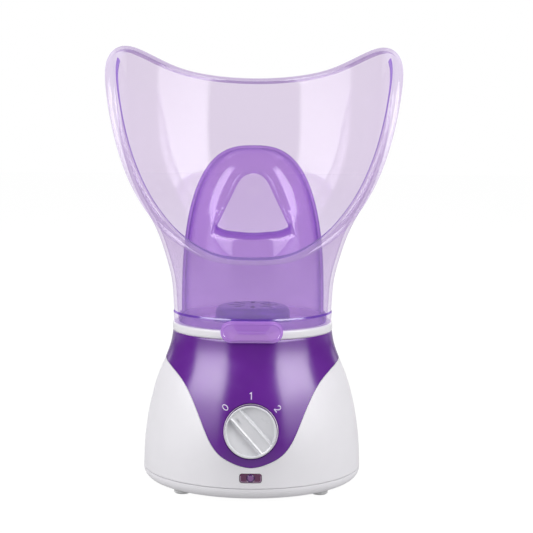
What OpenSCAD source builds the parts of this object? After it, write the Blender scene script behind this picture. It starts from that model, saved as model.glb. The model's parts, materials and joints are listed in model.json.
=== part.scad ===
// Table-top facial steamer: a bell-shaped mains body with a heated water bowl,
// a nose cone and a flared face hood that lift off its collar.
// Origin on the table under the collar's axis; +Z up, the control knob faces -Y.

/* [Body] */
// Largest radius of the body, just above its foot
base_r = 66.8; // [64:0.2:70]
// Radius of the shoulder that carries the white collar
neck_r = 48.8; // [48.6:0.1:49]
// Height of the shoulder
shoulder_z = 92.7; // [92:0.1:93]
// Height of the joint between base plate and white housing
seam_z = 9; // [8:0.5:10]
// Wall thickness of the white housing and the base plate
wall = 2.2; // [1.8:0.1:2.4]
// Wall thickness of the purple housing
upper_wall = 3.6; // [3.2:0.1:4]
// Height of the rubber feet below the base plate
foot_gap = 2.2; // [1.5:0.1:3]

/* [Hood] */
// Wall thickness of the face hood
hood_wall = 2; // [1.6:0.1:2.2]
// Inner radius of the hood's neck
hood_neck_r = 45.8; // [45.7:0.1:46]
// Radius of the rolled lip on the hood's sides, on its tight side
lip_r = 2.4; // [1.8:0.1:3]
// How far the lip rolls over, in degrees
lip_turn = 150; // [90:5:160]

/* [Nose cone] */
// Radius of the dome above its skirt
dome_r = 43.6; // [43:0.1:43.8]
// Height of the dome above the top of its skirt
dome_h = 102; // [95:1:105]
// Wall thickness of the nose cone
dome_wall = 1.6; // [1.2:0.1:1.8]
// How far the top of the dome leans to the back
dome_lean = 10; // [0:1:10]
// Depth of the nose seat around the opening
seat_depth = 8; // [4:0.5:9]

/* [Controls] */
// Radius of the knob
knob_r = 14.9; // [12:0.1:15]
// How far the knob's face stands out from the front of the body
knob_out = 11.8; // [10:0.1:12]
// Width of the grip bar across the knob
grip_w = 8.3; // [6:0.1:9]
// Upward tilt of the knob's axis, in degrees
knob_tilt = 10; // [8:1:12]
// Turn from one switch position to the next, in degrees
knob_step = 42; // [30:1:45]
// Width of the lamp window
window_w = 12.9; // [10:0.1:14]
// Height of the lamp window
window_h = 5.5; // [4:0.1:6]

/* [Inside] */
// Inner radius of the water bowl at its rim
bowl_r = 37; // [34:0.5:37]
// Height of the underside of the water bowl
bowl_z = 66; // [64:1:68]
// Radius of the ring-shaped heating element
element_r = 24; // [22:1:26]
// Radius of the hole for a round mains lead
lead_r = 3.4; // [3:0.1:3.6]

/* [Hidden] */
$fn = 96;

lilac = "plum";
violet = "mediumpurple";
grape = "indigo";
pearl = "whitesmoke";
steel = "silver";

// Body outline: [share of the height from seam to shoulder, share of the way out from neck_r].
bell = [[0, 1], [0.16, 0.972], [0.32, 0.894], [0.49, 0.744], [0.64, 0.55],
        [0.79, 0.267], [0.91, 0.072], [1, 0]];
bell_steps = 14;
// Joint between the housings, seen from the front: [distance from the middle, height].
front_dip = [[-24.3, 35.6], [-13, 24.8], [0, 21.2], [13, 24.8], [24.3, 35.6], [30, 48],
             [35.8, 60], [41, 67.3], [46, 71.5], [53.4, 75.5], [60, 77]];
side_z = 75.5;
back_dip_share = 0.35;
lap = 2.5;
lap_gap = 0.1;

collar_out = 49.1;
collar_z = [92.75, 97.9];
upstand_r = [41.8, 43.4];
upstand_z = 102;
ledge_r = 37.8;
ledge_z = [94, 96];
deck_z = 90.3;
seat_gap = 0.1;

// Hood wall, outside: [height, half width], [height, depth in front], [height, depth behind].
hood_neck = hood_neck_r + hood_wall;
hood_z = collar_z[1] + seat_gap;
hood_side = [[hood_z, hood_neck], [110, hood_neck + 0.8], [124, 49.8], [137, 53], [155, 59.3],
             [173, 68.9], [188, 75.4], [203, 79.7], [221, 82.4], [245, 84.1], [275, 85.2]];
hood_front = [[hood_z, hood_neck], [110, hood_neck + 0.3], [124, 50.3], [137, 55.7],
              [150, 62.8], [170, 71.7], [190, 75.1], [221, 76.8], [275, 78.8]];
hood_back = [[hood_z, hood_neck], [110, hood_neck + 0.1], [124, 48.9], [137, 50.4], [155, 53],
             [173, 56.4], [194, 60.4], [221, 65.6], [245, 69.4], [275, 72]];
// The hood's rim, seen from the side: [depth, height].
rim_cut = [[-58, 139], [-55, 139.9], [-49, 146], [-42.5, 154], [-37, 165], [-30, 193.8],
           [-22, 217.9], [-11, 238.5], [3, 252.4], [18, 260.8], [33, 262.1], [47, 256.9], [60, 249.1],
           [70, 244.4]];
// Size of the rolled lip at heights of the rim: [height, share of lip_r].
lip_share = [[130, 0.62], [142, 0.8], [157, 0.92], [171, 0.92], [186, 1], [202, 0.98],
             [220, 0.96], [245, 0.9], [275, 0.9]];
hood_columns = 96;
hood_rows = 11;
lip_rows = 5;
tab_w = 36;
tab_z = [91.2, 103.9];
tab_r = [49.4, 52.4];

skirt_r = [43.8, 45.2];
dome_z = 103.4;
dome_p = 2.75;
// Nose opening, seen from the front: [angle from the top, distance from nose_mid_z].
nose_mid_z = 169;
nose_edge = [[0, 19.85], [14.6, 19.2], [26.7, 17.6], [41.5, 15.6], [63, 14.3], [88, 15.7],
             [107, 19.5], [114, 22.2], [118, 23.9], [122, 23.1], [126, 22], [141.7, 17.9],
             [160, 15.4], [180, 14.66]];
nose_columns = 64;
nose_rows = [0, 0.035, 0.08, 0.14, 0.22, 0.32, 0.44, 0.57, 0.7, 0.82, 0.92, 1];
seat_reach = 13;
seat_reach_below = 3.8;

axis_z = 42.2;
pocket_r = 16.3;
pocket_floor = -2.4;
panel_back = -5;
shaft_r = 3;
bush_r = 5;

post_r = 43.5;
clamp_boss_r = 43.9;
bowl_flange_r = 41.4;
gasket_h = 1.1;
clamp_z = 84.6;
clamp_angles = [90, 210, 330];
foot_r = 57.5;
foot_pad_r = 5;
window_z = 15.3;
gland_z = 19;
gland_hole_r = 5.4;
screw_hole_r = 1.3;
block_y = 29;
clamp_y = 49;
clamp_screw_x = [-7.5, 7.5];
stud_x = 15.5;
element_z = 62.6;
element_ends = [110, 430];
spreader_z = 57.6;
bracket_z = 54.8;
tab_x = [-4.5, 4.5];

// A smooth curve through the rows of a table [[x, y], ...], at x.
function row_of(t, x, i = 0) = (i >= len(t) - 2 || x < t[i + 1][0]) ? i : row_of(t, x, i + 1);
function slope_of(t, i) =
    let (a = max(i - 1, 0), b = min(i + 1, len(t) - 1))
    (t[b][1] - t[a][1]) / (t[b][0] - t[a][0]);
function smooth(t, x) =
    let (i = row_of(t, x), h = t[i + 1][0] - t[i][0], u = (x - t[i][0]) / h,
         m0 = slope_of(t, i) * h, m1 = slope_of(t, i + 1) * h)
    t[i][1] * (2 * u * u * u - 3 * u * u + 1) + m0 * (u * u * u - 2 * u * u + u)
    + t[i + 1][1] * (3 * u * u - 2 * u * u * u) + m1 * (u * u * u - u * u);

function unit(v) = v / norm(v);
function round_rect(w, h, r) =
    [for (q = [0:3]) for (a = [0:15:90])
        [(w / 2 - r) * (q == 0 || q == 3 ? 1 : -1) + r * cos(a + 90 * q),
         (h / 2 - r) * (q < 2 ? 1 : -1) + r * sin(a + 90 * q)]];

function body_r(z) =
    neck_r + (base_r - neck_r) * smooth(bell, min(1, (z - seam_z) / (shoulder_z - seam_z)));
function bell_side(inset, z0, z1) =
    [for (i = [0:bell_steps]) let (z = z0 + (z1 - z0) * i / bell_steps) [body_r(z) - inset, z]];
function reversed(list) = [for (i = [len(list) - 1:-1:0]) list[i]];
function dip_z(x, back) =
    back ? side_z - back_dip_share * (side_z - smooth(front_dip, abs(x)))
         : smooth(front_dip, abs(x));

// A closed skin over rings of points: each ring joins the next, and the last joins the first.
module ring_skin(rings) {
    m = len(rings);
    n = len(rings[0]);
    polyhedron(
        points = [for (ring = rings) for (p = ring) p],
        faces = [for (i = [0:m - 1]) for (j = [0:n - 1])
            let (a = i * n + j, b = ((i + 1) % m) * n + j,
                 c = ((i + 1) % m) * n + (j + 1) % n, d = i * n + (j + 1) % n)
            each [[a, b, c], [a, c, d]]]);
}

// A round wire through a few points, bent as one smooth curve.
function wire_point(pts, s) =
    let (i = min(floor(s), len(pts) - 2), u = s - i, last = len(pts) - 1,
         p0 = pts[max(i - 1, 0)], p1 = pts[i], p2 = pts[i + 1], p3 = pts[min(i + 2, last)])
    0.5 * (2 * p1 + (p2 - p0) * u + (2 * p0 - 5 * p1 + 4 * p2 - p3) * u * u
           + (3 * p1 - p0 - 3 * p2 + p3) * u * u * u);
module wire(pts, r) {
    sides = 8;
    steps = 5 * (len(pts) - 1);
    rings = [for (k = [0:steps])
        let (s = k * (len(pts) - 1) / steps, p = wire_point(pts, s),
             t = unit(wire_point(pts, min(s + 0.05, len(pts) - 1)) - wire_point(pts, max(s - 0.05, 0))),
             u = unit(cross(t, [0.31, 0.22, 0.92])), v = cross(t, u))
        [for (j = [0:sides - 1]) p + r * (cos(360 * j / sides) * u + sin(360 * j / sides) * v)]];
    polyhedron(
        points = [for (ring = rings) for (p = ring) p],
        faces = concat(
            [[for (j = [sides - 1:-1:0]) j]],
            [[for (j = [0:sides - 1]) steps * sides + j]],
            [for (i = [0:steps - 1]) for (j = [0:sides - 1])
                let (a = i * sides + j, b = i * sides + (j + 1) % sides)
                each [[a, b, b + sides], [a, b + sides, a + sides]]]));
}

// ---- housings ----

module bell_shell(from, to, z0, z1) {
    rotate_extrude() polygon(concat(bell_side(from, z0, z1), reversed(bell_side(to, z0, z1))));
}

// Everything above the joint line between the housings, moved down by drop.
module above_dip(drop) {
    for (back = [false, true])
        mirror([0, back ? 1 : 0, 0])
            rotate([90, 0, 0])
                linear_extrude(height = 90)
                    polygon(concat(
                        [for (x = [-60:4:60]) [x, dip_z(x, back) - drop]],
                        [[90, side_z + 2 - drop], [90, 130], [-90, 130], [-90, side_z + 2 - drop]]));
}

module on_knob_axis() {
    translate([0, -body_r(axis_z), axis_z]) rotate([90 - knob_tilt, 0, 0]) children();
}

module at_posts() {
    for (a = [45:90:315]) rotate(a) translate([post_r, 0, 0]) children();
}

module upper_housing() color(grape) {
    difference() {
        union() {
            difference() {
                intersection() {
                    bell_shell(0, upper_wall, seam_z + 2, shoulder_z);
                    above_dip(lap);
                }
                difference() {
                    bell_shell(-3, wall + lap_gap, seam_z + 1, shoulder_z - 2);
                    above_dip(0);
                }
            }
            rotate_extrude()
                polygon([[upstand_r[0], deck_z], [neck_r - 1, deck_z], [neck_r - 1, shoulder_z],
                         [upstand_r[1], shoulder_z], [upstand_r[1], upstand_z],
                         [upstand_r[0], upstand_z], [upstand_r[0], ledge_z[1]],
                         [ledge_r, ledge_z[1]], [ledge_r, ledge_z[0]], [upstand_r[0], ledge_z[0]]]);
            at_posts() translate([0, 0, 11.2]) cylinder(r = 3.6, h = deck_z - 11);
            for (a = clamp_angles) rotate(a) translate([clamp_boss_r, 0, 86])
                cylinder(r = 2.8, h = deck_z - 85.8);
            intersection() {
                on_knob_axis() translate([0, 0, panel_back])
                    cylinder(r = pocket_r + 2, h = pocket_floor - panel_back + 3);
                rotate_extrude() polygon(concat([[0, seam_z + 2]], bell_side(0.1, seam_z + 2, shoulder_z - 1),
                                                [[0, shoulder_z - 1]]));
            }
        }
        on_knob_axis() {
            translate([0, 0, pocket_floor]) cylinder(r = pocket_r, h = 20);
            translate([0, 0, panel_back - 1]) cylinder(r = bush_r + 0.1, h = 10);
        }
        at_posts() translate([0, 0, 11]) cylinder(r = screw_hole_r, h = 16);
        for (a = clamp_angles) rotate(a) translate([clamp_boss_r, 0, 85]) cylinder(r = screw_hole_r, h = 5);
    }
}

module lower_housing() color(pearl) {
    difference() {
        bell_shell(0, wall, seam_z, shoulder_z - 6);
        above_dip(0);
        translate([0, -base_r + 8, window_z]) rotate([90, 0, 0])
            linear_extrude(height = 16) polygon(round_rect(window_w, window_h, 1.6));
        translate([0, base_r - 8, gland_z]) rotate([-90, 0, 0]) cylinder(r = gland_hole_r, h = 16);
    }
}

module base_plate() color(pearl) {
    plate_z = foot_gap + wall;
    difference() {
        union() {
            rotate_extrude()
                polygon(concat(
                    [[0, foot_gap], [base_r - 6.5, foot_gap]],
                    [for (a = [-80:10:0]) [base_r - 6 + 6 * cos(a), 8 + 5.8 * sin(a)]],
                    [[base_r, seam_z - 0.1], [base_r - wall, seam_z - 0.1]],
                    [[base_r - wall - 0.3, seam_z + 2.4], [base_r - 2 * wall, seam_z + 2.4],
                     [base_r - 2 * wall, plate_z + 2], [base_r - 2 * wall - 3, plate_z], [0, plate_z]]));
            at_posts() translate([0, 0, plate_z - 0.5]) cylinder(r = 6, h = 7.1);
            for (x = clamp_screw_x) translate([x, clamp_y, plate_z - 0.5]) cylinder(r = 2.8, h = 6.1);
        }
        at_posts() {
            translate([0, 0, foot_gap - 1]) cylinder(r = 3.4, h = 5.2);
            translate([0, 0, foot_gap - 1]) cylinder(r = 1.6, h = 12);
        }
        for (a = [45:90:315]) rotate(a) translate([foot_r, 0, foot_gap - 1])
            cylinder(r = foot_pad_r + 0.05, h = 1.8);
        for (x = clamp_screw_x) translate([x, clamp_y, foot_gap + 1]) cylinder(r = 1.1, h = 12);
        for (side = [-1, 1]) for (y = [-12:6:12])
            translate([side * 20 - 8, y - 1.2, foot_gap - 1]) cube([16, 2.4, wall + 2]);
    }
}

module foot(index) color("dimgray") {
    rotate(index * 90 + 45) translate([foot_r, 0, 0])
        rotate_extrude() polygon([[0, 0], [foot_pad_r - 0.8, 0], [foot_pad_r, 0.8],
                                  [foot_pad_r, foot_gap + 0.8], [0, foot_gap + 0.8]]);
}

module collar_ring() color(pearl) {
    bulge = (collar_z[1] - collar_z[0]) / 2;
    rotate_extrude()
        polygon(concat(
            [[upstand_r[1] + 0.2, collar_z[0]]],
            [for (a = [-70:20:70])
                [collar_out - 0.9 + 0.9 * cos(a), collar_z[0] + bulge * (1 + sin(a) / sin(70))]],
            [[upstand_r[1] + 0.2, collar_z[1]]]));
}

// ---- what lifts off ----

function hood_at(turn, z) =
    let (depth = smooth(cos(turn) > 0 ? hood_front : hood_back, z))
    [smooth(hood_side, z) * sin(turn), -depth * cos(turn), z];
function rim_z(turn, lo = 130, hi = 272, n = 24) =
    let (mid = (lo + hi) / 2, over = mid - smooth(rim_cut, hood_at(turn, mid)[1]))
    n == 0 ? mid : over > 0 ? rim_z(turn, lo, mid, n - 1) : rim_z(turn, mid, hi, n - 1);
function grid_normal(grid, i, j) =
    let (n = len(grid[0]), m = len(grid) - 1, row = grid[i])
    unit(cross(row[(j + 1) % n] - row[(j + n - 1) % n],
               grid[min(i + 1, m)][j] - grid[max(i - 1, 0)][j]));

module hood_shell() {
    turns = [for (j = [0:hood_columns - 1]) 360 * j / hood_columns];
    rims = [for (t = turns) rim_z(t)];
    outside = [for (i = [0:hood_rows]) [for (j = [0:hood_columns - 1])
        hood_at(turns[j], hood_z + (rims[j] - hood_z) * i / hood_rows)]];
    normals = [for (i = [0:hood_rows]) [for (j = [0:hood_columns - 1]) grid_normal(outside, i, j)]];
    inside = [for (i = [0:hood_rows]) [for (j = [0:hood_columns - 1])
        let (p = outside[i][j] - hood_wall * normals[i][j]) [p[0], p[1], i == 0 ? hood_z : p[2]]]];
    edge = outside[hood_rows];
    lip = function (j, a, extra)
        let (n = normals[hood_rows][j], r = lip_r * smooth(lip_share, edge[j][2]),
             along = unit(edge[(j + 1) % hood_columns] - edge[(j + hood_columns - 1) % hood_columns]),
             up = unit(cross(n, along)))
        edge[j] + r * n + (r + extra) * (sin(a) * up - cos(a) * n);
    lip_outside = [for (k = [1:lip_rows]) [for (j = [0:hood_columns - 1])
        lip(j, lip_turn * k / lip_rows, 0)]];
    lip_inside = [for (k = [lip_rows:-1:1]) [for (j = [0:hood_columns - 1])
        lip(j, lip_turn * k / lip_rows, hood_wall)]];
    ring_skin(concat(outside, lip_outside, lip_inside, reversed(inside)));
}

module hood_tab() {
    mid_z = (tab_z[0] + tab_z[1]) / 2;
    intersection() {
        difference() {
            translate([0, -40, mid_z]) rotate([90, 0, 0])
                linear_extrude(height = 20) polygon(round_rect(tab_w, tab_z[1] - tab_z[0], 5));
            translate([0, 0, hood_z - 20]) cylinder(r = tab_r[0], h = 20);
            translate([0, 0, hood_z - 1]) cylinder(r = hood_neck - 0.9, h = 20);
        }
        translate([0, 0, tab_z[0] - 1]) cylinder(r = tab_r[1], h = 20);
    }
}

module face_hood() color(lilac) {
    union() {
        hood_shell();
        hood_tab();
    }
}

// The dome as rays from its foot: steep is 0 at the top and 90 at the foot.
function dome_ray(steep) =
    pow(pow(sin(steep) / dome_r, dome_p) + pow(max(cos(steep), 0) / dome_h, dome_p), -1 / dome_p);
function dome_at(spot) =
    let (steep = 90 * norm(spot), turn = norm(spot) < 0.001 ? 0 : atan2(spot[0], -spot[1]),
         ray = dome_ray(steep), out = ray * sin(steep), up = ray * cos(steep))
    [out * sin(turn), -out * cos(turn) + dome_lean * pow(up / dome_h, 2), dome_z + up];
// The spot on the dome's front that shows at x, z from the front.
function dome_spot(x, z) =
    let (up = z - dome_z, out = dome_r * pow(1 - pow(up / dome_h, dome_p), 1 / dome_p),
         turn = asin(x / out), share = atan2(out, up) / 90)
    [share * sin(turn), -share * cos(turn)];
function edge_spot(turn) =
    let (a = turn > 0 ? 180 - turn : -180 - turn, away = smooth(nose_edge, abs(a)))
    dome_spot(away * sin(a), nose_mid_z + away * cos(a));
// Share of the seat's depth at a distance from the opening, from 1 down to 0.
function seat_fade(away, reach) = away >= reach ? 0 : let (s = away / reach) 1 - sqrt(1 - pow(1 - s, 2.2));

module nose_cone() color(violet) {
    turns = [for (j = [0:nose_columns - 1]) 360 * j / nose_columns - 180];
    rim = [for (t = turns) dome_at(edge_spot(t))];
    dome = [for (i = [len(nose_rows) - 1:-1:0]) [for (j = [0:nose_columns - 1])
        let (t = turns[j], from = edge_spot(t), to = [sin(t), -cos(t)],
             p = dome_at(from + (to - from) * nose_rows[i]),
             away = norm([p[0] - rim[j][0], p[2] - rim[j][2]]),
             reach = seat_reach_below + (seat_reach - seat_reach_below) * (1 - pow(max(cos(t), 0), 0.5)))
        p + [0, seat_depth * seat_fade(away, reach), 0]]];
    last = len(nose_rows) - 1;
    inner = [for (i = [0:last]) [for (j = [0:nose_columns - 1])
        dome[i][j] - dome_wall * grid_normal(dome, i, j)]];
    ring = function (r, z) [for (t = turns) [r * sin(t), -r * cos(t), z]];
    ring_skin(concat(
        [ring(skirt_r[1], hood_z), ring(skirt_r[1], dome_z - 0.6), ring(dome_r + 0.2, dome_z - 0.1)],
        dome, reversed(inner),
        [ring(dome_r - dome_wall, dome_z - 1.1), ring(skirt_r[0], dome_z - 1.2), ring(skirt_r[0], hood_z)]));
}

module steam_cap() color(grape) {
    cap_r = 23;
    cap_top = 107.6;
    plate = 1.6;
    foot = ledge_z[1] + seat_gap;
    difference() {
        rotate_extrude()
            polygon(concat(
                [[upstand_r[0] - 0.6, foot], [upstand_r[0] - 0.6, foot + plate], [cap_r + 1, foot + plate]],
                [for (a = [0:15:90]) [cap_r - 5 + 5 * cos(a), cap_top - 5 + 5 * sin(a)]],
                [[0, cap_top], [0, cap_top - plate], [cap_r - 5, cap_top - plate]],
                [for (a = [75:-25:0]) [cap_r - 5 + (5 - plate) * cos(a), cap_top - 5 + (5 - plate) * sin(a)]],
                [[cap_r - plate, foot]]));
        for (a = [0:45:315]) rotate(a) translate([7, -1.5, cap_top - 3]) cube([9, 3, 6]);
    }
}

// ---- controls ----

module control_knob() color(steel) {
    on_knob_axis() difference() {
        rotate_extrude()
            polygon(concat(
                [[knob_r, -1.8]],
                [for (a = [0:15:90]) [knob_r - 1.2 + 1.2 * cos(a), knob_out - 1.2 + 1.2 * sin(a)]],
                [[0, knob_out], [0, 8.4], [shaft_r + 0.05, 8.4], [shaft_r + 0.05, 1.4], [5.6, 1.4],
                 [5.6, 5.6], [knob_r - 2, 5.6], [knob_r - 2, -1.8]]));
        rotate(knob_step) {
            for (side = [-1, 1]) intersection() {
                translate([0, 0, knob_out - 4]) cylinder(r = knob_r - 1.3, h = 6);
                translate([side * (grip_w / 2 + 10), 0, knob_out]) cube([20, 40, 8], center = true);
            }
            translate([-0.6, knob_r - 7.2, knob_out - 0.4]) cube([1.2, 5, 2]);
        }
    }
}

module switch_shaft() color(steel) {
    on_knob_axis() difference() {
        translate([0, 0, -12]) cylinder(r = shaft_r, h = 20.2);
        rotate(knob_step) translate([-5, shaft_r - 0.6, 1.5]) cube([10, 4, 8]);
    }
}

module switch_body() color("tan") {
    on_knob_axis() difference() {
        union() {
            translate([-11, -11, panel_back - 16]) cube([22, 22, 15.95]);
            translate([0, 0, panel_back - 1]) cylinder(r = bush_r, h = 6.8);
            for (x = [-6, 0, 6]) translate([x - 2.4, 3, panel_back - 22]) cube([4.8, 0.8, 7]);
        }
        translate([0, 0, -12.2]) cylinder(r = shaft_r + 0.05, h = 20);
    }
}

module switch_nut() color(steel) {
    on_knob_axis() translate([0, 0, pocket_floor]) difference() {
        cylinder(r = 8.1, h = 2.2, $fn = 6);
        translate([0, 0, -1]) cylinder(r = bush_r + 0.05, h = 5);
    }
}

module indicator_lens() color("purple") {
    translate([0, -62.5, window_z]) rotate([90, 0, 0]) {
        linear_extrude(height = 4.6) polygon(round_rect(window_w - 0.3, window_h - 0.3, 1.5));
        linear_extrude(height = 1.1) polygon(round_rect(window_w + 2.6, window_h + 1.6, 2));
    }
}

module neon_lamp() color("orangered") {
    translate([0, -52, window_z]) rotate([90, 0, 0]) {
        translate([0, 0, -0.5]) cylinder(r = 2, h = 8.5);
        translate([0, 0, 8]) sphere(r = 2);
        for (x = [-0.9, 0.9]) translate([x, 0, -5]) cylinder(r = 0.35, h = 5);
    }
}

module lamp_sleeve() color("dimgray") {
    translate([0, -52.85, window_z]) rotate([90, 0, 0]) difference() {
        cylinder(r = 3.6, h = 9.6);
        translate([0, 0, -1]) cylinder(r = 2.15, h = 12);
    }
}

// ---- heater and bowl ----

module water_bowl() color("gray") {
    sheet = 1.4;
    rim = [ledge_z[0] - gasket_h - 1.5, ledge_z[0] - gasket_h];
    union() {
        rotate_extrude()
            polygon(concat(
                [[0, bowl_z], [bowl_r - 9, bowl_z]],
                [for (a = [-75:15:0]) [bowl_r - 8 + 6 * cos(a), bowl_z + 6 + 6 * sin(a)]],
                [[bowl_r + sheet - 0.4, rim[0]], [bowl_flange_r, rim[0]],
                 [bowl_flange_r, rim[1]], [bowl_r, rim[1]]],
                [for (a = [0:-15:-75]) [bowl_r - 8 + 4.4 * cos(a), bowl_z + 6.2 + 4.4 * sin(a)]],
                [[bowl_r - 9, bowl_z + 1.8], [0, bowl_z + 1.8]]));
        for (x = [-stud_x, stud_x]) translate([x, 0, 51]) cylinder(r = 2, h = bowl_z - 50.5);
    }
}

module bowl_gasket() color("white") {
    translate([0, 0, ledge_z[0] - gasket_h]) difference() {
        cylinder(r = bowl_flange_r, h = gasket_h);
        translate([0, 0, -1]) cylinder(r = ledge_r + 0.2, h = gasket_h + 2);
    }
}

module bowl_clamp() color(steel) {
    difference() {
        rotate_extrude()
            polygon([[39.4, clamp_z], [46.2, clamp_z], [46.2, clamp_z + 1.4], [41, clamp_z + 1.4],
                     [41, ledge_z[0] - 2.6], [39.4, ledge_z[0] - 2.6]]);
        at_posts() translate([0, 0, clamp_z - 5]) cylinder(r = 4, h = 20);
        for (a = clamp_angles) rotate(a) {
            translate([clamp_boss_r, 0, clamp_z - 5]) cylinder(r = 1.6, h = 10);
            translate([clamp_boss_r, 0, clamp_z + 1.4]) cylinder(r = 3.2, h = 8);
        }
    }
}

module heater_element() color("dimgray") {
    rotate(element_ends[0]) rotate_extrude(angle = element_ends[1] - element_ends[0])
        translate([element_r, element_z]) circle(r = 3.2, $fn = 48);
}

module at_element_ends() {
    for (a = element_ends) rotate(a) translate([element_r, 0, 0]) children();
}

module heater_terminals() color(steel) {
    at_element_ends() translate([0, 0, 50]) {
        translate([0, 0, 4]) cylinder(r = 2.6, h = element_z - 57.3);
        translate([-0.4, -2.4, -3.6]) cube([0.8, 4.8, 8]);
    }
}

module heater_plate() color("lightgray") {
    difference() {
        translate([0, 0, spreader_z]) cylinder(r = 30, h = 1.7);
        translate([0, 0, spreader_z - 1]) cylinder(r = 8.6, h = 4);
        for (x = [-stud_x, stud_x]) translate([x, 0, spreader_z - 1]) cylinder(r = 2.2, h = 4);
        at_element_ends() translate([0, 0, spreader_z - 1]) cylinder(r = 3, h = 4);
    }
}

module thermostat() color("black") {
    foot = bracket_z + 1.1;
    translate([0, 0, foot]) cylinder(r = 8, h = 6);
    translate([0, 0, foot + 6]) cylinder(r = 7.4, h = bowl_z - foot - 6.05);
    for (x = tab_x) translate([x - 0.4, -2.4, foot - 7.3]) cube([0.8, 4.8, 7.3]);
}

module thermostat_bracket() color(steel) {
    difference() {
        union() {
            for (side = [-1, 1]) {
                translate([side * stud_x - 5.5, -5, spreader_z - 1]) cube([11, 10, 1]);
                translate([side * 10.5 - 0.5, -5, bracket_z]) cube([1, 10, 2.4]);
            }
            translate([-11, -5, bracket_z]) cube([22, 10, 1]);
        }
        for (x = [-stud_x, stud_x]) translate([x, 0, 50]) cylinder(r = 2.2, h = 10);
        for (x = tab_x) translate([x - 1, -3.2, 50]) cube([2, 6.4, 10]);
    }
}

module bracket_nuts() color(steel) {
    for (x = [-stud_x, stud_x]) translate([x, 0, spreader_z - 4.2]) difference() {
        cylinder(r = 3.9, h = 3.1, $fn = 6);
        translate([0, 0, -1]) cylinder(r = 2.05, h = 6);
    }
}

module thermal_fuse() color("white") {
    translate([0, -19, 55.4]) rotate([0, 90, 0]) {
        translate([0, 0, -5.5]) cylinder(r = 2, h = 11);
        translate([0, 0, -12]) cylinder(r = 0.5, h = 24);
    }
}

// ---- mains entry ----

module cord_gland() color(pearl) {
    flange_r = 7;
    groove_r = gland_hole_r - 0.2;
    inside = base_r - wall - 1.2;
    outside = base_r + 0.2;
    translate([0, 0, gland_z]) rotate([-90, 0, 0]) rotate_extrude()
        polygon([[lead_r, inside - 3], [flange_r, inside - 3], [flange_r, inside], [groove_r, inside],
                 [groove_r, outside], [flange_r, outside], [flange_r, outside + 1.4],
                 [flange_r - 1, outside + 3.2], [lead_r, outside + 3.2]]);
}

module cord_clamp() color("black") {
    difference() {
        translate([-11, clamp_y - 3, foot_gap + wall + 5.7]) cube([22, 6, 3.4]);
        for (x = clamp_screw_x) translate([x, clamp_y, 5]) cylinder(r = 1.6, h = 12);
    }
}

module terminal_block() color("white") {
    difference() {
        translate([-11, block_y - 7, foot_gap + wall]) cube([22, 14, 9]);
        for (x = [-5.5, 5.5]) for (y = [-3, 3])
            translate([x, block_y + y, 8]) cylinder(r = 2, h = 9);
    }
}

// A pan-head screw, head down, its head's underside at z = 0.
module screw(shank_r, length, head_r) {
    cylinder(r = shank_r, h = length);
    translate([0, 0, -1.8]) difference() {
        cylinder(r1 = head_r * 0.8, r2 = head_r, h = 1.8);
        for (a = [0, 90]) rotate(a) translate([-head_r * 0.6, -0.35, -1]) cube([head_r * 1.2, 0.7, 1.9]);
    }
}

module housing_screws() color(steel) {
    at_posts() translate([0, 0, foot_gap + 4.2]) screw(1.2, 14, 2.9);
}

module bowl_clamp_screws() color(steel) {
    for (a = clamp_angles) rotate(a) translate([clamp_boss_r, 0, clamp_z]) screw(1.2, 5, 2.4);
}

module cord_clamp_screws() color(steel) {
    for (x = clamp_screw_x) translate([x, clamp_y, foot_gap + wall + 9.1])
        mirror([0, 0, 1]) screw(1, 9, 2.2);
}

// ---- wires ----

wire_r = 1.1;
block_hole_z = 9;
wire_live_route = [[-5.5, 26, block_hole_z], [-5.5, 25.5, 18], [-12, 16, 24], [-20, -4, 28],
                   [-15, -24, 36], [-6, -32.5, 40.1], [-6, -36, 40.8]];
wire_neutral_route = [[5.5, 26, block_hole_z], [5.5, 26, 18], [9, 30, 28], [10.5, 29, 38],
                      [8.2, 22.6, 42], [8.2, 22.6, 46]];
wire_switched_route = [[6, -36, 40.8], [6, -32, 40], [1, -28, 46], [-9, -26, 50], [-16, -22, 53.5],
                       [-15.5, -19.3, 55.4], [-12.4, -19, 55.4]];
wire_fuse_route = [[12.4, -19, 55.4], [15.5, -18.6, 54.5], [14, -12, 48], [8, -3, 43.5],
                   [4.5, 0, 44.5], [4.5, 0, 48.2]];
wire_heater_route = [[-4.5, 0, 48.2], [-4.5, 0, 44.5], [-7, 8, 40.5], [-8.2, 19, 40],
                     [-8.2, 22.6, 42], [-8.2, 22.6, 46]];
wire_lamp_live_route = [[-1.3, -46.6, 15.3], [-2.5, -42, 15.5], [-2, -34, 22], [3, -27, 32],
                        [8, -31, 36], [7.4, -35, 38.2], [7.2, -37.8, 38.8]];
wire_lamp_neutral_route = [[1.3, -46.6, 15.3], [3.5, -41, 14.5], [11, -22, 12], [15, 4, 12],
                           [15.5, 22, 15], [12.5, 33, 19], [7, 34, 19], [5.5, 32, 14.5],
                           [5.5, 32, block_hole_z]];

module hookup(route, tint) color(tint) wire(route, wire_r);

module half_power_diode() color("dimgray") {
    translate([3, -37, 46]) {
        rotate([0, 90, 0]) cylinder(r = 2.4, h = 6, center = true);
        rotate([0, 90, 0]) cylinder(r = 0.45, h = 8, center = true);
        for (x = [-4, 4]) translate([x, 0, 0]) {
            sphere(r = 0.45);
            translate([0, 0, -4.4]) cylinder(r = 0.45, h = 4.4);
        }
    }
}

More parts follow.
